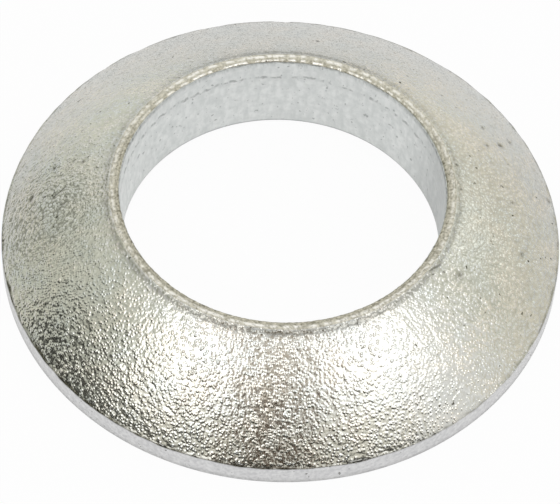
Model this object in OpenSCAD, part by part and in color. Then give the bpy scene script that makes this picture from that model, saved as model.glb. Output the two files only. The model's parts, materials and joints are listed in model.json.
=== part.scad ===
// Spherical washer: a cold-formed, zinc-plated steel ring with a flat foot and a domed seat.
// The domed face turns in a conical or hollow seat, so a bolt can stand at an angle to the work.
// The origin is the centre of the flat foot, and the hole's axis is +Z.

/* [Ring] */
// Outside diameter
outer_d = 36; // [30:0.5:38]
// Diameter of the hole for the bolt
bore_d = 20.6; // [16:0.1:26]
// Full height, from the flat foot to the land round the hole
height = 6.3; // [5.4:0.1:12]

/* [Domed seat] */
// Radius of the spherical face
sphere_r = 26; // [24.5:0.5:60]
// Width of the land between the hole and the spherical face
land_w = 0.75; // [0.5:0.05:2]

/* [Worn edges] */
// Round on the lip, where the hole meets the land
lip_r = 0.3; // [0.1:0.05:0.4]
// Round where the land meets the spherical face
land_edge_r = 0.6; // [0.1:0.05:0.9]
// Round where the spherical face meets the rim
rim_edge_r = 0.3; // [0.1:0.05:1.5]
// Round where the rim meets the foot
foot_edge_r = 0.1; // [0.1:0.05:1]
// Round where the hole meets the foot
bore_foot_r = 0.4; // [0.1:0.05:1]

/* [Hidden] */
$fn = 240;

outer_r = outer_d / 2;
bore_r = bore_d / 2;
land_r = bore_r + land_w;
// The sphere's centre lies on the axis, below the foot, and the sphere passes through the land's outer edge.
sphere_z = height - sqrt(sphere_r ^ 2 - land_r ^ 2);

// Centres of the edge rounds, as [radius, height].
lip_c = [bore_r + lip_r, height - lip_r];
foot_c = [outer_r - foot_edge_r, foot_edge_r];
bore_foot_c = [bore_r + bore_foot_r, bore_foot_r];
// A round that is tangent inside the spherical face has its centre on a sphere that is smaller by its radius.
function on_inner_sphere(r, edge_r) = [r, sphere_z + sqrt((sphere_r - edge_r) ^ 2 - r ^ 2)];
rim_c = on_inner_sphere(outer_r - rim_edge_r, rim_edge_r);
land_c_z = height - land_edge_r;
land_c = [sqrt((sphere_r - land_edge_r) ^ 2 - (land_c_z - sphere_z) ^ 2), land_c_z];
// The direction from the sphere's centre through a round's centre meets the face where the round runs out.
function run_out(c) = (c - [0, sphere_z]) / norm(c - [0, sphere_z]);

// A round is drawn larger by this hair, so that it crosses its two faces instead of only touching them.
bite = 0.0002;

// The corner left over outside a round of radius r at c: it lies between the directions a and b, towards the corner.
module corner(c, r, a, b) {
    reach = 2 * r;
    difference() {
        polygon([c, c + reach * a, c + reach * (a + b), c + reach * b]);
        translate(c) circle(r + bite);
    }
}

// Half section of the ring, with radius along x and height along y.
module section() {
    difference() {
        intersection() {
            translate([bore_r, 0]) square([outer_r - bore_r, height]);
            translate([0, sphere_z]) circle(sphere_r, $fn = 1440);
        }
        corner(lip_c, lip_r, [-1, 0], [0, 1]);
        corner(land_c, land_edge_r, [0, 1], run_out(land_c));
        corner(rim_c, rim_edge_r, run_out(rim_c), [1, 0]);
        corner(foot_c, foot_edge_r, [1, 0], [0, -1]);
        corner(bore_foot_c, bore_foot_r, [0, -1], [-1, 0]);
    }
}

module spherical_washer() {
    color("silver") rotate_extrude() section();
}

spherical_washer();
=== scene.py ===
# %% [markdown]
# A spherical washer in bright zinc plate.
# The real ring is cold-formed from steel: a die presses the domed face and leaves it with a fine grain,
# a punch shears the hole, and a zinc bath gives the ring its cool shine.
# The frame brings the exact solid. It is smooth, and the eye reads this washer by its grain,
# so a finely divided skin of the same form is made here and stands for the solid.

# %% Load the frame
import json
import math

import bmesh
import bpy
import numpy as np
from mathutils import Matrix, Vector, noise


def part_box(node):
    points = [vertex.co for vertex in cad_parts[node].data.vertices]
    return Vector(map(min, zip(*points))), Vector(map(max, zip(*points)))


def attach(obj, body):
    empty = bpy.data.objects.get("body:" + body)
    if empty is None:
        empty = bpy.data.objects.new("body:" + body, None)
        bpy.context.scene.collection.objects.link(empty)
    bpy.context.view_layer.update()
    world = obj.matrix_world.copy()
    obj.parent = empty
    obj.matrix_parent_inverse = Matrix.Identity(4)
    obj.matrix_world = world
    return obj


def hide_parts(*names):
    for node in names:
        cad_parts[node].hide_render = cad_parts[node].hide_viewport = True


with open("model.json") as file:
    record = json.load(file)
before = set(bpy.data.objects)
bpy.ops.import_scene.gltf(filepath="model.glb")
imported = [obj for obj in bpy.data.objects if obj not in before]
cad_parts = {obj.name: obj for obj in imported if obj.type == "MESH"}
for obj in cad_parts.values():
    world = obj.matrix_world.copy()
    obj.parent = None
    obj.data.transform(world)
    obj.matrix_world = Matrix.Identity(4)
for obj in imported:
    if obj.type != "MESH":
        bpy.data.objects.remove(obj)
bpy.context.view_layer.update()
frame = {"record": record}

# %% [markdown]
# The sizes.
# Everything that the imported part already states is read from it: the outside and the height from its box,
# the hole and the sphere from its mounts. Only the land's width and the small worn rounds are written again.

# %% Read the driving sizes
MM = 0.001
WASHER = "spherical_washer"
mounts = {mount["name"]: mount for mount in frame["record"]["mounts"]}
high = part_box(WASHER)[1]
outer_r = high.x
height = high.z
bore_r = mounts["bore"]["dims"]["r_mm"] * MM
sphere_r = mounts["dome"]["dims"]["r_mm"] * MM
land_w = 0.75 * MM
lip_r = 0.3 * MM
land_edge_r = 0.6 * MM
rim_edge_r = 0.3 * MM
foot_edge_r = 0.1 * MM
bore_foot_r = 0.4 * MM

land_r = bore_r + land_w
sphere_z = height - math.sqrt(sphere_r ** 2 - land_r ** 2)
print(f"outside {2 * outer_r / MM:.2f}, hole {2 * bore_r / MM:.2f}, height {height / MM:.2f},",
      f"sphere radius {sphere_r / MM:.1f} with its centre at z {sphere_z / MM:.2f} mm")

# %% [markdown]
# The half section.
# A turned or pressed ring is one outline carried round an axis, so the outline comes first.
# A single vertex works as a pen: a spin about a round's centre draws an arc, an extrude a straight stretch.
# Each arc then has its true centre, which points typed by hand would not give.

# %% The pen
section = bmesh.new()


def draw_arc(pen, centre, turn, steps):
    """Spins the pen clockwise about a centre (radius, height) and gives back the vertex where it stops."""
    made = bmesh.ops.spin(section, geom=[pen], cent=(centre[0], 0, centre[1]), axis=(0, 1, 0), angle=turn,
                          steps=steps)
    return next(item for item in made["geom_last"] if isinstance(item, bmesh.types.BMVert))


def draw_line(pen, radius, z, steps):
    """Extrudes the pen to a point (radius, height), in equal steps."""
    start, end = pen.co.copy(), Vector((radius, 0, z))
    for step in range(steps):
        pen = bmesh.ops.extrude_vert_indiv(section, verts=[pen])["verts"][0]
        pen.co = start.lerp(end, (step + 1) / steps)
    return pen


# %% [markdown]
# The outline.
# The centre of each round follows from the two faces that it touches, so it moves with them.
# The pen starts low in the hole and goes over the lip, the land, the dome and the rim to the foot.
# The steps are short where something fine will be pressed in, and long where the surface is plain.

# %% Draw the half section
QUARTER = math.pi / 2
dome_step = 0.115 * MM
groove_stretch = 0.2 * MM
shear_z = 4.75 * MM
shear_half = 0.09 * MM
under_rim = 0.1 * MM
lip_z = height - lip_r
land_c_z = height - land_edge_r
land_c_r = math.sqrt((sphere_r - land_edge_r) ** 2 - (land_c_z - sphere_z) ** 2)
rim_c_r = outer_r - rim_edge_r
rim_c_z = sphere_z + math.sqrt((sphere_r - rim_edge_r) ** 2 - rim_c_r ** 2)
dome_start = math.atan2(land_c_r, land_c_z - sphere_z)
dome_end = math.atan2(rim_c_r, rim_c_z - sphere_z)
groove_turn = groove_stretch / sphere_r
dome_turn = dome_end - dome_start - groove_turn
dome_steps = round(sphere_r * dome_turn / dome_step)

pen = section.verts.new((bore_r, 0, bore_foot_r))
pen = draw_line(pen, bore_r, shear_z - shear_half, 2)
pen = draw_line(pen, bore_r, shear_z + shear_half, 2)
pen = draw_line(pen, bore_r, lip_z, 4)
pen = draw_arc(pen, (bore_r + lip_r, lip_z), QUARTER, 10)
pen = draw_line(pen, land_c_r, height, 6)
pen = draw_arc(pen, (land_c_r, land_c_z), dome_start, 5)
pen = draw_arc(pen, (0, sphere_z), groove_turn, 4)
pen = draw_arc(pen, (0, sphere_z), dome_turn, dome_steps)
pen = draw_arc(pen, (rim_c_r, rim_c_z), QUARTER - dome_end, 5)
pen = draw_line(pen, outer_r, pen.co.z - under_rim, 1)
pen = draw_line(pen, outer_r, foot_edge_r, 3)
pen = draw_arc(pen, (outer_r - foot_edge_r, foot_edge_r), QUARTER, 2)
pen = draw_line(pen, bore_r + bore_foot_r, 0, 1)
pen = draw_arc(pen, (bore_r + bore_foot_r, bore_foot_r), QUARTER, 3)
print(f"half section: {len(section.verts)} points, {dome_steps} steps on the dome")

# %% [markdown]
# The ring.
# A screw modifier could turn the outline too, but it stays live, and the grain needs real vertices.
# One spin of all the fine steps is slow, because each step searches what is there already.
# So a narrow sector is spun first, its copies are spun round the axis, and the seams are merged.

# %% Spin the section to a ring
AROUND = 840
SECTORS = 14
sector_turn = 2 * math.pi / SECTORS
bmesh.ops.spin(section, geom=section.verts[:] + section.edges[:], cent=(0, 0, 0), axis=(0, 0, 1),
               angle=sector_turn, steps=AROUND // SECTORS)
bmesh.ops.spin(section, geom=section.verts[:] + section.edges[:] + section.faces[:], cent=(0, 0, 0),
               axis=(0, 0, 1), angle=sector_turn * (SECTORS - 1), steps=SECTORS - 1, use_duplicate=True)
bmesh.ops.remove_doubles(section, verts=section.verts[:], dist=0.0005 * MM)
bmesh.ops.recalc_face_normals(section, faces=section.faces[:])
print(f"ring: {len(section.verts)} vertices, {2 * len(section.faces)} triangles")

# %% [markdown]
# Four finishes on one ring.
# The die, the punch and wear leave the ring's faces different, so each face is marked for its finish by where
# it lies: the sheared hole, the worn lip, the grained dome, and the rim with the foot. The punched finish
# turns a little way over the lip, and the line between dome and rim is ragged, as the die left it.

# %% Mark the faces
FINISHES = ("punched_zinc", "worn_lip", "zinc_on_forged_grain", "satin_zinc")
PUNCHED, WORN, GRAINED, SATIN = range(len(FINISHES))
worn_r = 10.95 * MM
punched_over_lip = 0.19 * MM
edge_line_z = 1.5 * MM
edge_wave = 0.14 * MM
edge_wave_length = 1.2 * MM


def edge_height(place):
    """The height of the ragged line between dome and rim at this place."""
    return edge_line_z + edge_wave * noise.noise(Vector((place[0], place[1], 0)) / edge_wave_length)


def finish_at(place):
    """The finish of the face whose middle lies here."""
    radius = math.hypot(place.x, place.y)
    if radius < bore_r + bore_foot_r and place.z < lip_z + punched_over_lip:
        return PUNCHED
    if place.z > lip_z and radius < worn_r:
        return WORN
    return GRAINED if place.z > edge_height(place) else SATIN


for face in section.faces:
    face.smooth = True
    face.material_index = finish_at(face.calc_center_median())
counts = np.bincount([face.material_index for face in section.faces])
mesh = bpy.data.meshes.new("washer_skin")
section.to_mesh(mesh)
section.free()
washer = bpy.data.objects.new("washer_skin", mesh)
bpy.context.scene.collection.objects.link(washer)
print("faces:", ", ".join(f"{count} {name}" for name, count in zip(FINISHES, counts)))

# %% [markdown]
# The skin as numbers.
# A displace modifier could press the grain in, but then no colour could follow the same pebbles.
# So each vertex gets a depth, in metres, and is pressed in along its normal at the end: never outwards,
# so the skin stays inside the exact solid. Two more numbers go with it: the polish, high on what stands proud
# and gets rubbed, which on the dome's pebble tops is partly a painted highlight, and the grime, high where
# dirt
# stays and also where shade is painted: in the dome's valleys, on the lip's inner flank, along the foot's
# edges and on the right side of the hole. The finishes read both.

# %% Read the skin
points = np.empty(len(mesh.vertices) * 3)
mesh.vertices.foreach_get("co", points)
points = points.reshape(-1, 3)
normals = np.empty(len(mesh.vertices) * 3)
mesh.vertex_normals.foreach_get("vector", normals)
normals = normals.reshape(-1, 3)
radius = np.hypot(points[:, 0], points[:, 1])
level = points[:, 2].copy()


def smooth_step(value, start, end):
    """Goes from 0 at start to 1 at end, with no kink."""
    share = np.clip((value - start) / (end - start), 0, 1)
    return share * share * (3 - 2 * share)


def ridge(value, middle, half_width):
    """1 at the middle, falling off to both sides as a bell does."""
    return np.exp(-((value - middle) / half_width) ** 2)


def lumps(size, flat=False):
    """Noise from 0 to 1 at each vertex, in lumps of the given size. Flat noise is alike at every height."""
    places = points * (1, 1, 0) if flat else points
    return np.array([0.5 + 0.5 * noise.noise(Vector(place)) for place in places / size])


def pebbles(size):
    """Height from 0 to 1 at each vertex: round tops, one to a cell of the given size, with narrow valleys."""
    nearest = np.array([noise.voronoi(Vector(place))[0][0] for place in points / size])
    valley_at = 0.7
    return 1 - smooth_step(nearest, 0, valley_at)


print(f"skin: {len(points)} vertices read")

# %% [markdown]
# The grain.
# The die's face is worn and scaled, so the dome comes out pebbled like a fine casting, a pebble about every
# fifth of a millimetre, deeper low at the front left. Longer swells and rolls carry the pebbles.
# The valleys at the sides are darkened, less towards the back: partly dirt and partly painted shade in the
# hollows. A little more dirt lies at the sides, where the ring is held, and more of it close to the lip.

# %% Pebbles on the dome
pebble_size = 0.22 * MM
pebble_depth = 0.028 * MM
swell_size = 0.4 * MM
swell_depth = 0.014 * MM
roll_size = 1.1 * MM
roll_depth = 0.02 * MM
front_left = (-0.77, -0.64, 0)
groove_r = 11.2 * MM
on_dome = smooth_step(radius, worn_r - 0.05 * MM, worn_r + 0.1 * MM)
over_edge = level - np.array([edge_height(place) for place in points])
on_dome *= smooth_step(over_edge, 0, 0.12 * MM)
tops = pebbles(pebble_size)
to_front_left = smooth_step(points @ front_left / radius, 0.2, 0.9)
coarse = 1 + 0.45 * to_front_left * smooth_step(radius, 12.5 * MM, 15.5 * MM)
grain = pebble_depth * coarse * (1 - tops + lumps(pebble_size))
depth = on_dome * (grain + swell_depth * lumps(swell_size) + roll_depth * lumps(roll_size))
# The pebble tops are lighter in colour: partly rubbed by wear, partly a painted highlight.
polish_and_sheen = on_dome * tops
sides = (points[:, 0] / radius) ** 2
handled = smooth_step(lumps(0.4 * MM), 0.5, 0.75)
to_back = smooth_step(points[:, 1] / radius, 0.1, 0.7)
# Darker valleys at the sides, fading towards the back: partly dirt, partly painted shade in the hollows.
valley_dirt_and_shade = 0.15 * sides * (1 - to_back) * (1 - tops)
handled_dirt = 0.1 * sides * handled
lip_dirt = 0.3 * (1 - 0.6 * sides) * smooth_step(radius, 12.1 * MM, groove_r) * lumps(0.5 * MM)
grime_and_shade = on_dome * (valley_dirt_and_shade + handled_dirt + lip_dirt)
print(f"grain: deepest {depth.max() / MM:.3f} mm, pebbles from {tops.min():.2f} to {tops.max():.2f}")

# %% [markdown]
# The lip.
# The punch leaves a burr that is rolled flat again: one worn ridge that wanders round the hole, with a thin
# torn valley inside it, a second ridge inside that at the back only, and a groove where the land ends.
# The ridges are broken every half millimetre or so, and draw the hole's edge as bright dashes.
# The metal round them is pressed in and they are left standing.

# %% Ridges, valley and groove round the hole
inner_ridge_r = 10.45 * MM
valley_r = 10.6 * MM
outer_ridge_r = 10.8 * MM
hair = 0.001 * MM
ridge_rise = 0.015 * MM
groove_half = 0.13 * MM
groove_depth = 0.015 * MM
on_lip = (level > lip_z - hair) * smooth_step(radius, worn_r + 0.1 * MM, worn_r - 0.05 * MM)
on_land = smooth_step(radius, worn_r, worn_r + 0.2 * MM)
on_land *= smooth_step(radius, groove_r + 0.3 * MM, groove_r + 0.05 * MM)
torn = lumps(0.22 * MM)
cracks = ridge(torn, 0.5, 0.05)
wear = 1 - 0.45 * sides


def dashes(size, row):
    """1 on dashes about this long that run round the ring, 0 in the breaks. Another row has other breaks."""
    turn = points[:, :2] / radius[:, None] * outer_ridge_r / size
    run = np.array([0.5 + 0.5 * noise.noise(Vector((x, y, row))) for x, y in turn])
    return smooth_step(run + 0.8 * (torn - 0.5), 0.4, 0.52)


valley = ridge(radius, valley_r, 0.1 * MM) * (0.5 + 0.5 * lumps(1.1 * MM))
groove = ridge(radius, groove_r, groove_half) * (0.5 + 0.5 * lumps(0.9 * MM))
inner_edge = smooth_step(level, lip_z + 0.14 * MM, lip_z)
depth += on_lip * MM * (0.035 * valley + 0.05 * torn + 0.02 * cracks) + on_land * groove_depth * groove
wander = 0.12 * MM * (lumps(1.6 * MM) - 0.5)
outer_ridge = ridge(radius + wander, outer_ridge_r, 0.11 * MM) * (0.2 + 0.8 * dashes(0.4 * MM, 1))
inner_ridge = to_back * ridge(radius + wander, inner_ridge_r, 0.09 * MM) * dashes(0.4 * MM, 5)
ridges = np.maximum(outer_ridge, inner_ridge)
depth -= on_lip * ridge_rise * ridges * np.minimum(1, depth / ridge_rise)
polish_and_sheen += on_lip * ridges * wear
grime_and_shade += on_lip * (0.2 * ridge(radius, valley_r, 0.04 * MM) + 0.6 * cracks) * (1 - 0.6 * to_back)
specks = smooth_step(lumps(0.3 * MM), 0.62, 0.72)
speck_dirt = 0.6 * specks * (1 - 0.7 * to_back) * smooth_step(radius, valley_r, valley_r - 0.2 * MM)
# On the lip's inner flank at the sides the zinc is darkened: partly dirt, partly painted shade. The specks
# are dirt.
grime_and_shade += on_lip * (0.4 * sides * inner_edge + speck_dirt)
grime_and_shade += on_land * (0.45 - 0.25 * sides - 0.2 * to_back) * (0.4 + 1.2 * lumps(0.2 * MM))
print(f"lip: {int((on_lip * (ridges > 0.5)).sum())} vertices on its ridges")

# %% [markdown]
# The shear line in the hole.
# A punch cuts the first part of a hole clean and tears the rest, and a wavy line shows where the cut ends.
# The three rings drawn close together at that height are lifted and lowered to follow the wave,
# so the small step stays sharp with few faces. Each vertex also keeps its height over the line, by which the
# finish draws the line's dark dashes.

# %% Shear line
long_wave = 0.45 * MM
short_wave = 0.12 * MM
wave = long_wave * (lumps(2.2 * MM, flat=True) - 0.5) + short_wave * (lumps(0.6 * MM, flat=True) - 0.5)
in_bore = radius < bore_r + hair
line_ring = in_bore * (np.abs(level - shear_z) < 1.5 * shear_half)
points[:, 2] += wave * line_ring
torn_zone = in_bore * smooth_step(level, shear_z - shear_half, shear_z + shear_half)
depth += torn_zone * smooth_step(level, lip_z, lip_z - 0.4 * MM) * MM * (0.015 + 0.03 * lumps(0.5 * MM))
above_shear = points[:, 2] - shear_z - wave
print(f"shear line: z {(shear_z + wave.min()) / MM:.2f} to {(shear_z + wave.max()) / MM:.2f} mm")

# %% [markdown]
# The rim's edges.
# Where the dome meets the rim the die closed on the steel, and the edge is ragged, with chips that hold dirt,
# darkest at the front left. A painted contact shadow darkens the two edges of the foot, and painted shade
# darkens the right side of the hole.

# %% Ragged edge of the rim
chip_depth = 0.09 * MM
rim_depth = 0.02 * MM
on_edge = (radius > outer_r - 0.6 * MM) * ridge(over_edge, 0.04 * MM, 0.08 * MM)
chips = lumps(0.35 * MM) * lumps(1.6 * MM)
depth += on_edge * chip_depth * chips * (1 - 0.7 * to_back)
low_left = to_front_left * smooth_step(-points[:, 1] / radius, 0, 0.4)
edge_dirt = (0.3 + 0.4 * smooth_step(chips, 0.15, 0.4)) * (0.65 + 0.4 * lumps(4 * MM))
grime_and_shade += on_edge * edge_dirt * (1 + 1.2 * low_left)
on_rim = (radius > outer_r - 0.02 * MM) * smooth_step(level, 0, 0.4 * MM)
depth += on_rim * rim_depth * lumps(0.5 * MM)
# A painted contact shadow along the outer edge of the foot.
grime_and_shade += 0.35 * (radius > outer_r - 0.2 * MM) * smooth_step(level, 0.2 * MM, 0.05 * MM)
# Painted shade along the foot's edge in the hole.
grime_and_shade += 0.6 * (radius < bore_r + bore_foot_r) * smooth_step(level, 0.35 * MM, 0.15 * MM)
# Painted shade on the right side of the hole.
grime_and_shade += 0.28 * in_bore * smooth_step(points[:, 0] / radius, 0.75, 1)
print(f"rim: deepest chip {(on_edge * chip_depth * chips).max() / MM:.3f} mm")

# %% [markdown]
# The single marks.
# A few pits and two scratches catch the eye, so they are placed one by one, by angle round the axis and
# radius.
# A pit is given by angle in degrees, radius and size in millimetres, a scratch by its two ends and its dirt.

# %% Pits and scratches
PITS = [(171, 13.0, 0.16), (170, 13.7, 0.12), (171, 15.0, 0.16), (178, 16.1, 0.15), (179, 16.2, 0.12),
        (-176, 14.0, 0.2), (26, 16.4, 0.2), (24, 15.4, 0.25), (23, 14.3, 0.15), (30, 14.9, 0.12),
        (5, 14.8, 0.15), (11, 17.7, 0.2), (-9, 15.6, 0.2), (13, 11.3, 0.08), (3, 11.3, 0.07),
        (-7, 11.3, 0.08), (-27, 12.6, 0.26)]
SCRATCHES = [((-179.0, 14.7), (178.9, 13.95), 0.85), ((-33.0, 11.05), (-28.6, 11.35), 0.4)]
scratch_half = 0.065 * MM
mark_depth = 0.03 * MM
pit_dirt = 0.75
raggedness = 1.6 * torn


def on_face(angle, radius_mm):
    """A point on the domed face."""
    r = radius_mm * MM
    a = math.radians(angle)
    return np.array([r * math.cos(a), r * math.sin(a), sphere_z + math.sqrt(sphere_r ** 2 - r ** 2)])


for angle, radius_mm, size in PITS:
    pit = ridge(np.linalg.norm(points - on_face(angle, radius_mm), axis=1), 0, size * MM) * raggedness
    depth += mark_depth * pit
    grime_and_shade += pit_dirt * pit
for start, end, darkening in SCRATCHES:
    a, b = on_face(*start), on_face(*end)
    along = np.clip((points - a) @ (b - a) / ((b - a) @ (b - a)), 0, 1)
    cut = ridge(np.linalg.norm(points - a - along[:, None] * (b - a), axis=1), 0, scratch_half)
    depth += mark_depth * cut
    grime_and_shade += darkening * cut
print(f"marks: {len(PITS)} pits and {len(SCRATCHES)} scratches placed by hand")

# %% [markdown]
# Pressing the skin in.
# All the depths go into the vertices at once. They fade out at the foot, so that the ring stands flat.
# The heights over the shear line, the polish with its painted highlight and the grime with its painted shade
# stay on the mesh as attributes for the finishes.

# %% Press the skin in
depth *= smooth_step(level, 0, 0.1 * MM)
points -= normals * depth[:, None]
mesh.vertices.foreach_set("co", points.ravel())
mesh.attributes.new("above_shear", "FLOAT", "POINT").data.foreach_set("value", above_shear)
mesh.attributes.new("polish_and_sheen", "FLOAT", "POINT").data.foreach_set("value", np.clip(polish_and_sheen, 0, 1))
mesh.attributes.new("grime_and_shade", "FLOAT", "POINT").data.foreach_set("value", np.clip(grime_and_shade, 0, 1))
mesh.update()
print(f"pressed in: deepest {depth.max() / MM:.3f} mm")

# %% [markdown]
# Tools for the finishes.
# Colours are written as sRGB hex, as a designer reads them from a sample, and turned to linear in one place.
# One function adds a shader node with its settings and its links. A colour Mix node has sockets for other
# kinds of value too, so its own ones are named here.

# %% Small helpers for node trees
FACTOR, COLOUR_A, COLOUR_B, COLOUR_OUT = 0, 6, 7, 2


def linear(hex_colour):
    """sRGB hex to linear RGBA."""
    channels = [int(hex_colour[place:place + 2], 16) / 255 for place in (1, 3, 5)]
    return [c / 12.92 if c <= 0.04045 else ((c + 0.055) / 1.055) ** 2.4 for c in channels] + [1.0]


def add(tree, kind, inputs=None, **settings):
    """Adds one node. An input is given a value, or another node's output to link."""
    made = tree.nodes.new(kind)
    for name, value in settings.items():
        setattr(made, name, value)
    for name, value in (inputs or {}).items():
        if isinstance(value, bpy.types.NodeSocket):
            tree.links.new(value, made.inputs[name])
        else:
            made.inputs[name].default_value = value
    return made


def empty_material(name):
    """A material with nothing in its node tree, and that tree."""
    material = bpy.data.materials.new(name)
    material.use_nodes = True
    material.node_tree.nodes.clear()
    return material, material.node_tree


def start_finish(name):
    """An empty material, its node tree and the place on the washer, in metres."""
    material, tree = empty_material(name)
    place = add(tree, "ShaderNodeTexCoord").outputs["Object"]
    return material, tree, place


def pits(tree, place, size, least):
    """1 inside scattered pits with ragged outlines, 0 outside: where a noise rises above a level."""
    rough = add(tree, "ShaderNodeTexNoise", {"Vector": place, "Scale": 1 / size, "Detail": 2.0})
    ragged_edge = 0.06
    return add(tree, "ShaderNodeMapRange", {"Value": rough.outputs["Fac"], "From Min": least,
                                            "From Max": least + ragged_edge}).outputs[0]


def soiled_and_shaded(tree, zinc, soil_and_shade, spots):
    """The zinc's colour with soil in the low places and in the spots, and painted shade where the grime
    carries it.
    """
    soil_and_shade_share = add(tree, "ShaderNodeAttribute", attribute_name="grime_and_shade").outputs["Fac"]
    darkening = add(tree, "ShaderNodeMath", {0: soil_and_shade_share, 1: spots}, operation="MAXIMUM")
    return add(tree, "ShaderNodeMix", {FACTOR: darkening.outputs[0], COLOUR_A: zinc, COLOUR_B: linear(soil_and_shade)},
               data_type="RGBA").outputs[COLOUR_OUT]


def close_finish(tree, colour, roughness, relief, relief_depth):
    """Metal with this colour and roughness, and a relief too fine for the mesh as bump."""
    bump = add(tree, "ShaderNodeBump", {"Height": relief, "Strength": 1.0, "Distance": relief_depth})
    shader = add(tree, "ShaderNodeBsdfPrincipled", {"Metallic": 1.0, "Base Color": colour,
                                                    "Roughness": roughness, "Normal": bump.outputs[0]})
    add(tree, "ShaderNodeOutputMaterial", {"Surface": shader.outputs[0]})


# %% [markdown]
# Zinc on the forged grain.
# Each pebble's top is light and each valley dull in colour, which gives the dome its salt and pepper: partly
# the rubbed tops of wear, partly a painted highlight on the tops and painted shade in the valleys.

# %% Zinc on the forged grain
def zinc_on_forged_grain():
    material, tree, place = start_finish("zinc_on_forged_grain")
    clouds = add(tree, "ShaderNodeTexNoise", {"Vector": place, "Scale": 1 / (2.2 * MM), "Detail": 3.0})
    hue = add(tree, "ShaderNodeMapRange", {"Value": clouds.outputs["Fac"], "From Min": 0.38,
                                           "From Max": 0.62})
    bright = add(tree, "ShaderNodeMix", {FACTOR: hue.outputs[0], COLOUR_A: linear("#DCE0DF"),
                                         COLOUR_B: linear("#EDE7DD")}, data_type="RGBA")
    sheen_and_polish = add(tree, "ShaderNodeAttribute", attribute_name="polish_and_sheen")
    cells = add(tree, "ShaderNodeTexVoronoi", {"Vector": place, "Scale": 1 / (0.2 * MM)})
    tops = add(tree, "ShaderNodeMapRange", {"Value": cells.outputs["Distance"], "From Max": 0.65,
                                            "To Min": 1.0, "To Max": 0.0}, interpolation_type="SMOOTHSTEP")
    both = add(tree, "ShaderNodeMath", {0: sheen_and_polish.outputs["Fac"], 1: tops.outputs[0]}, operation="ADD")
    share = add(tree, "ShaderNodeMapRange", {"Value": both.outputs[0], "From Min": 0.0, "From Max": 1.4})
    # Light tops and dull valleys: partly wear, partly a painted highlight on the tops and painted shade in
    # the valleys.
    zinc = add(tree, "ShaderNodeMix", {FACTOR: share.outputs[0], COLOUR_A: linear("#D3D3CD"),
                                       COLOUR_B: bright.outputs[COLOUR_OUT]}, data_type="RGBA")
    dark_pits = pits(tree, place, size=0.4 * MM, least=0.7)
    # The soil colour also paints shade into the valleys at the sides.
    colour = soiled_and_shaded(tree, zinc.outputs[COLOUR_OUT], "#57554A", dark_pits)
    fine = add(tree, "ShaderNodeTexNoise", {"Vector": place, "Scale": 1 / (0.18 * MM), "Detail": 0.0})
    relief = add(tree, "ShaderNodeMath", {0: fine.outputs["Fac"], 1: 0.7, 2: tops.outputs[0]},
                 operation="MULTIPLY_ADD")
    close_finish(tree, colour, roughness=0.2, relief=relief.outputs[0], relief_depth=0.02 * MM)
    return material


# %% [markdown]
# The worn lip.
# Rolled flat and rubbed, it is the brightest metal on the ring, broken by dull, warm-grey valleys.

# %% Worn lip
def worn_lip():
    material, tree, place = start_finish("worn_lip")
    fine = add(tree, "ShaderNodeTexNoise", {"Vector": place, "Scale": 1 / (0.16 * MM), "Detail": 2.0})
    speckle = add(tree, "ShaderNodeMapRange", {"Value": fine.outputs["Fac"], "From Min": 0.35,
                                               "From Max": 0.65})
    dull = add(tree, "ShaderNodeMix", {FACTOR: speckle.outputs[0], COLOUR_A: linear("#B0AD9F"),
                                       COLOUR_B: linear("#D6D2C4")}, data_type="RGBA")
    sheen_and_polish = add(tree, "ShaderNodeAttribute", attribute_name="polish_and_sheen")
    zinc = add(tree, "ShaderNodeMix", {FACTOR: sheen_and_polish.outputs["Fac"], COLOUR_A: dull.outputs[COLOUR_OUT],
                                       COLOUR_B: linear("#FBF9F2")}, data_type="RGBA")
    dark_pits = pits(tree, place, size=0.3 * MM, least=0.7)
    # The soil colour also paints shade onto the lip's inner flank at the sides.
    colour = soiled_and_shaded(tree, zinc.outputs[COLOUR_OUT], "#6A6655", dark_pits)
    dulled = add(tree, "ShaderNodeMapRange", {"Value": sheen_and_polish.outputs["Fac"], "To Min": 0.6,
                                              "To Max": 0.22})
    close_finish(tree, colour, roughness=dulled.outputs[0], relief=fine.outputs["Fac"],
                 relief_depth=0.03 * MM)
    return material


# %% [markdown]
# Punched zinc.
# The hole is cooler and smoother than the dome. A noise stretched along the axis gives it the punch's faint
# upright streaks, and breaks the dark line where the clean cut ends into dashes. Dark pits are scattered
# over it.

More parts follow.
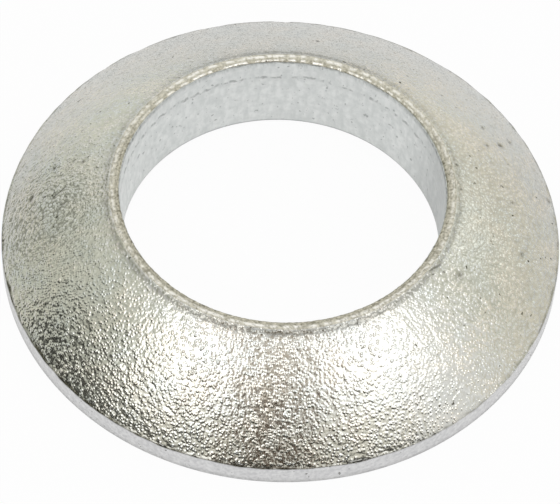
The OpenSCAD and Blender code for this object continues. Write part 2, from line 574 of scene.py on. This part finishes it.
# %% Punched zinc
def punched_zinc():
    material, tree, place = start_finish("punched_zinc")
    upright = add(tree, "ShaderNodeMapping", {"Vector": place, "Scale": (1, 1, 0.35)}).outputs[0]
    streaks = add(tree, "ShaderNodeTexNoise", {"Vector": upright, "Scale": 1 / (0.35 * MM), "Detail": 2.0})
    mottle = add(tree, "ShaderNodeTexNoise", {"Vector": place, "Scale": 1 / (0.4 * MM), "Detail": 3.0})
    tone = add(tree, "ShaderNodeMath", {0: streaks.outputs["Fac"], 1: mottle.outputs["Fac"]},
               operation="MULTIPLY")
    share = add(tree, "ShaderNodeMapRange", {"Value": tone.outputs[0], "From Min": 0.12, "From Max": 0.38})
    zinc = add(tree, "ShaderNodeMix", {FACTOR: share.outputs[0], COLOUR_A: linear("#DDE0DF"),
                                       COLOUR_B: linear("#F0F2F1")}, data_type="RGBA")
    above = add(tree, "ShaderNodeAttribute", attribute_name="above_shear").outputs["Fac"]
    ragged = add(tree, "ShaderNodeMath", {0: mottle.outputs["Fac"], 1: 0.5 * MM, 2: above},
                 operation="MULTIPLY_ADD")
    off_line = add(tree, "ShaderNodeMath", {0: ragged.outputs[0], 1: 0.25 * MM}, operation="SUBTRACT")
    away = add(tree, "ShaderNodeMath", {0: off_line.outputs[0]}, operation="ABSOLUTE")
    line = add(tree, "ShaderNodeMapRange", {"Value": away.outputs[0], "From Min": 0.03 * MM,
                                            "From Max": 0.13 * MM, "To Min": 1.0, "To Max": 0.0})
    gaps = add(tree, "ShaderNodeMapRange", {"Value": streaks.outputs["Fac"], "From Min": 0.42,
                                            "From Max": 0.6})
    dashes = add(tree, "ShaderNodeMath", {0: line.outputs[0], 1: gaps.outputs[0]}, operation="MULTIPLY")
    dark_pits = pits(tree, place, size=0.3 * MM, least=0.66)
    spots = add(tree, "ShaderNodeMath", {0: dashes.outputs[0], 1: dark_pits}, operation="MAXIMUM")
    faint = add(tree, "ShaderNodeMath", {0: spots.outputs[0], 1: 0.5}, operation="MULTIPLY")
    # The soil colour also paints shade on the right side of the hole and along its foot edge.
    colour = soiled_and_shaded(tree, zinc.outputs[COLOUR_OUT], "#6E7070", faint.outputs[0])
    close_finish(tree, colour, roughness=0.42, relief=streaks.outputs["Fac"], relief_depth=0.01 * MM)
    return material


# %% [markdown]
# Satin zinc.
# The rim and the foot were never rubbed: a softer, bluish grey with small clouds and dark specks.

# %% Satin zinc
def satin_zinc():
    material, tree, place = start_finish("satin_zinc")
    clouds = add(tree, "ShaderNodeTexNoise", {"Vector": place, "Scale": 1 / (0.25 * MM), "Detail": 3.0})
    share = add(tree, "ShaderNodeMapRange", {"Value": clouds.outputs["Fac"], "From Min": 0.35,
                                             "From Max": 0.65})
    zinc = add(tree, "ShaderNodeMix", {FACTOR: share.outputs[0], COLOUR_A: linear("#D4D4D5"),
                                       COLOUR_B: linear("#EAEAEA")}, data_type="RGBA")
    dark_pits = pits(tree, place, size=0.28 * MM, least=0.68)
    # The soil colour also paints a contact shadow along the foot's outer edge.
    colour = soiled_and_shaded(tree, zinc.outputs[COLOUR_OUT], "#74746F", dark_pits)
    close_finish(tree, colour, roughness=0.35, relief=clouds.outputs["Fac"], relief_depth=0.02 * MM)
    return material


# %% [markdown]
# The finished ring.
# The finishes go on in the order in which the faces were marked. The skin then rides on the part's one body
# and stands for the exact solid, which is hidden.

# %% Put the finishes on the ring
for make in (punched_zinc, worn_lip, zinc_on_forged_grain, satin_zinc):
    mesh.materials.append(make())
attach(washer, "root")
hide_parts(WASHER)
print("finishes:", ", ".join(material.name for material in mesh.materials))

# %% [markdown]
# The white floor and the white surroundings.
# A polished metal shows little but what stands around it, so the studio is the second half of the finish.
# The sweep is white all round. A ray that shows the background sees plain white, and other rays get a softer
# light. The floor is partly plain white and partly matt paper, so that it keeps a faint shadow.

# %% White floor and white surroundings
def sees_background(tree):
    """1 for a ray that shows the background: from the camera, from a reflection or through glass."""
    path = add(tree, "ShaderNodeLightPath")
    either = add(tree, "ShaderNodeMath", {0: path.outputs["Is Camera Ray"], 1: path.outputs["Is Glossy Ray"]},
                 operation="MAXIMUM")
    return add(tree, "ShaderNodeMath", {0: either.outputs[0], 1: path.outputs["Is Transmission Ray"]},
               operation="MAXIMUM").outputs[0]


room_light = 0.62
floor_r = 0.8
floor_drop = 0.01 * MM
white_share = 0.45
white_share_for_camera = 0.5
scene = bpy.context.scene
scene.view_settings.view_transform = "Standard"
scene.world = bpy.data.worlds.new("white_surroundings")
scene.world.use_nodes = True
tree = scene.world.node_tree
tree.nodes.clear()
strength = add(tree, "ShaderNodeMapRange", {"Value": sees_background(tree), "To Min": room_light,
                                            "To Max": 1.0})
white = add(tree, "ShaderNodeBackground", {"Color": linear("#FFFFFF"),
                                           "Strength": strength.outputs["Result"]})
add(tree, "ShaderNodeOutputWorld", {"Surface": white.outputs["Background"]})

floor_mesh = bpy.data.meshes.new("floor")
sheet = bmesh.new()
bmesh.ops.create_circle(sheet, cap_ends=True, radius=floor_r, segments=64,
                        matrix=Matrix.Translation((0, 0, -floor_drop)))
sheet.to_mesh(floor_mesh)
sheet.free()
floor = bpy.data.objects.new("floor", floor_mesh)
scene.collection.objects.link(floor)
paper, tree = empty_material("white_paper")
matt = add(tree, "ShaderNodeBsdfDiffuse", {"Color": linear("#F8F8F8")})
glow = add(tree, "ShaderNodeEmission", {"Color": linear("#FFFFFF"), "Strength": 1.0})
path = add(tree, "ShaderNodeLightPath")
seen = add(tree, "ShaderNodeMath", {0: sees_background(tree), 1: white_share}, operation="MULTIPLY")
blend = add(tree, "ShaderNodeMath", {0: path.outputs["Is Camera Ray"], 1: white_share_for_camera,
                                     2: seen.outputs[0]}, operation="MULTIPLY_ADD")
mixed = add(tree, "ShaderNodeMixShader", {0: blend.outputs[0], 1: matt.outputs[0], 2: glow.outputs[0]})
add(tree, "ShaderNodeOutputMaterial", {"Surface": mixed.outputs[0]})
floor_mesh.materials.append(paper)
print(f"floor: a round sheet {2 * floor_r:.1f} m across")

# %% [markdown]
# Softboxes and screens.
# Two softboxes high at the left and the right make the two bright patches on the front of the dome, and a
# small weak one gives the right side its sparkle.
# Screens, which only reflections see, stand for the rest of the room. It is brown where the camera is.
# Along the front a near-white strip over a near-black one gives each grain a light and a dark side.
# A dark card and a grey bar stand at the left, warm paper at the right.
# A screen that stands a little nearer hides what is behind it.

# %% Softboxes and screens
def direction(azimuth, elevation):
    """Unit vector for an azimuth from +X towards +Y and an elevation, both in degrees."""
    a, e = math.radians(azimuth), math.radians(elevation)
    return Vector((math.cos(e) * math.cos(a), math.cos(e) * math.sin(a), math.sin(e)))


def softbox(name, azimuth, elevation, size, radiance):
    """A square white lamp that faces the washer."""
    data = bpy.data.lights.new(name, "AREA")
    data.size = size
    data.energy = radiance * math.pi * size ** 2
    lamp = bpy.data.objects.new(name, data)
    towards = direction(azimuth, elevation)
    lamp.location = towards * softbox_distance
    lamp.rotation_euler = towards.to_track_quat("Z", "Y").to_euler()
    scene.collection.objects.link(lamp)


def screen(name, azimuths, elevations, distance, colour):
    """A curved screen that only reflections see: an upright arc, spun about the washer's axis."""
    shape = bmesh.new()
    bottom = shape.verts.new(direction(azimuths[0], elevations[0]) * distance)
    side = direction(azimuths[0] + 90, 0)
    bmesh.ops.spin(shape, geom=[bottom], cent=(0, 0, 0), axis=-side,
                   angle=math.radians(elevations[1] - elevations[0]), steps=12)
    bmesh.ops.spin(shape, geom=shape.verts[:] + shape.edges[:], cent=(0, 0, 0), axis=(0, 0, 1),
                   angle=math.radians(azimuths[1] - azimuths[0]), steps=24)
    shape_mesh = bpy.data.meshes.new(name)
    shape.to_mesh(shape_mesh)
    shape.free()
    card = bpy.data.objects.new(name, shape_mesh)
    scene.collection.objects.link(card)
    material, tree = empty_material(name)
    glow = add(tree, "ShaderNodeEmission", {"Color": linear(colour), "Strength": 1.0})
    add(tree, "ShaderNodeOutputMaterial", {"Surface": glow.outputs[0]})
    shape_mesh.materials.append(material)
    card.visible_camera = False
    card.visible_diffuse = False
    card.visible_shadow = False


softbox_distance = 0.5
SOFTBOXES = [("softbox_left", -136, 56, 0.24, 1.34),
             ("softbox_right", -33, 56, 0.27, 1.13),
             ("softbox_side", 33, 37, 0.12, 0.6)]
SCREENS = [("camera_side_screen", (-101, -80), (16, 53), 0.69, "#4C341D"),
           ("camera_top_screen", (-112, -67), (50, 86), 0.7, "#C0B5A6"),
           ("front_low_screen", (-165, -40), (5, 30), 0.68, "#3A3932"),
           ("front_screen", (-150, -35), (26, 44), 0.7, "#F0EDE1"),
           ("back_screen", (75, 110), (1, 14), 0.7, "#D0D0CC"),
           ("left_dark_screen", (173, 199), (8, 29), 0.69, "#101110"),
           ("left_bar", (140, 157), (2, 26), 0.69, "#9A9C91"),
           ("left_low_screen", (110, 204), (1, 22), 0.7, "#ECEEE1"),
           ("left_high_screen", (140, 180), (22, 56), 0.7, "#E8EADD"),
           ("left_front_screen", (180, 207), (22, 56), 0.7, "#CED0C4"),
           ("right_screen", (-14, 75), (2, 20), 0.7, "#F0EBDC"),
           ("right_high_screen", (0, 75), (20, 52), 0.7, "#FEFFF5"),
           ("right_bar", (8, 22), (20, 48), 0.69, "#E0E1D4")]
for row in SOFTBOXES:
    softbox(*row)
for row in SCREENS:
    screen(*row)
print(f"studio: {len(SOFTBOXES)} softboxes, {len(SCREENS)} screens")

# %% [markdown]
# The camera.
# It looks down at the ring with a long lens, as a photographer would to keep a round thing round. The angle,
# the distance and the lens come from a fit of the ring's four circles to the picture.
# The shift stays at zero.

# %% The camera
eye_elevation = 53.51
eye_distance = 171 * MM
eye_roll = 0.049  # radians
focal_length = 169.1  # millimetres, as a lens is marked
aim_below = 0.432 * MM
aim_left = 0.019 * MM
back = direction(-90, eye_elevation)
right = Vector((1, 0, 0))
up = back.cross(right)
rolled_right = math.cos(eye_roll) * right + math.sin(eye_roll) * up
rolled_up = back.cross(rolled_right)
eye = back * eye_distance
aim = -aim_below * rolled_up - aim_left * rolled_right
back = (eye - aim).normalized()
rolled_right = (rolled_right - rolled_right.dot(back) * back).normalized()
rolled_up = back.cross(rolled_right)
camera_data = bpy.data.cameras.new("camera")
camera_data.lens = focal_length
camera_data.sensor_width = 36
camera_data.clip_start = 0.01
camera = bpy.data.objects.new("camera", camera_data)
camera.matrix_world = Matrix.Translation(eye) @ Matrix((rolled_right, rolled_up, back)).transposed().to_4x4()
scene.collection.objects.link(camera)
scene.camera = camera
print(f"camera: {eye_distance / MM:.0f} mm away, {eye_elevation} degrees above the floor,",
      f"{focal_length} mm lens")
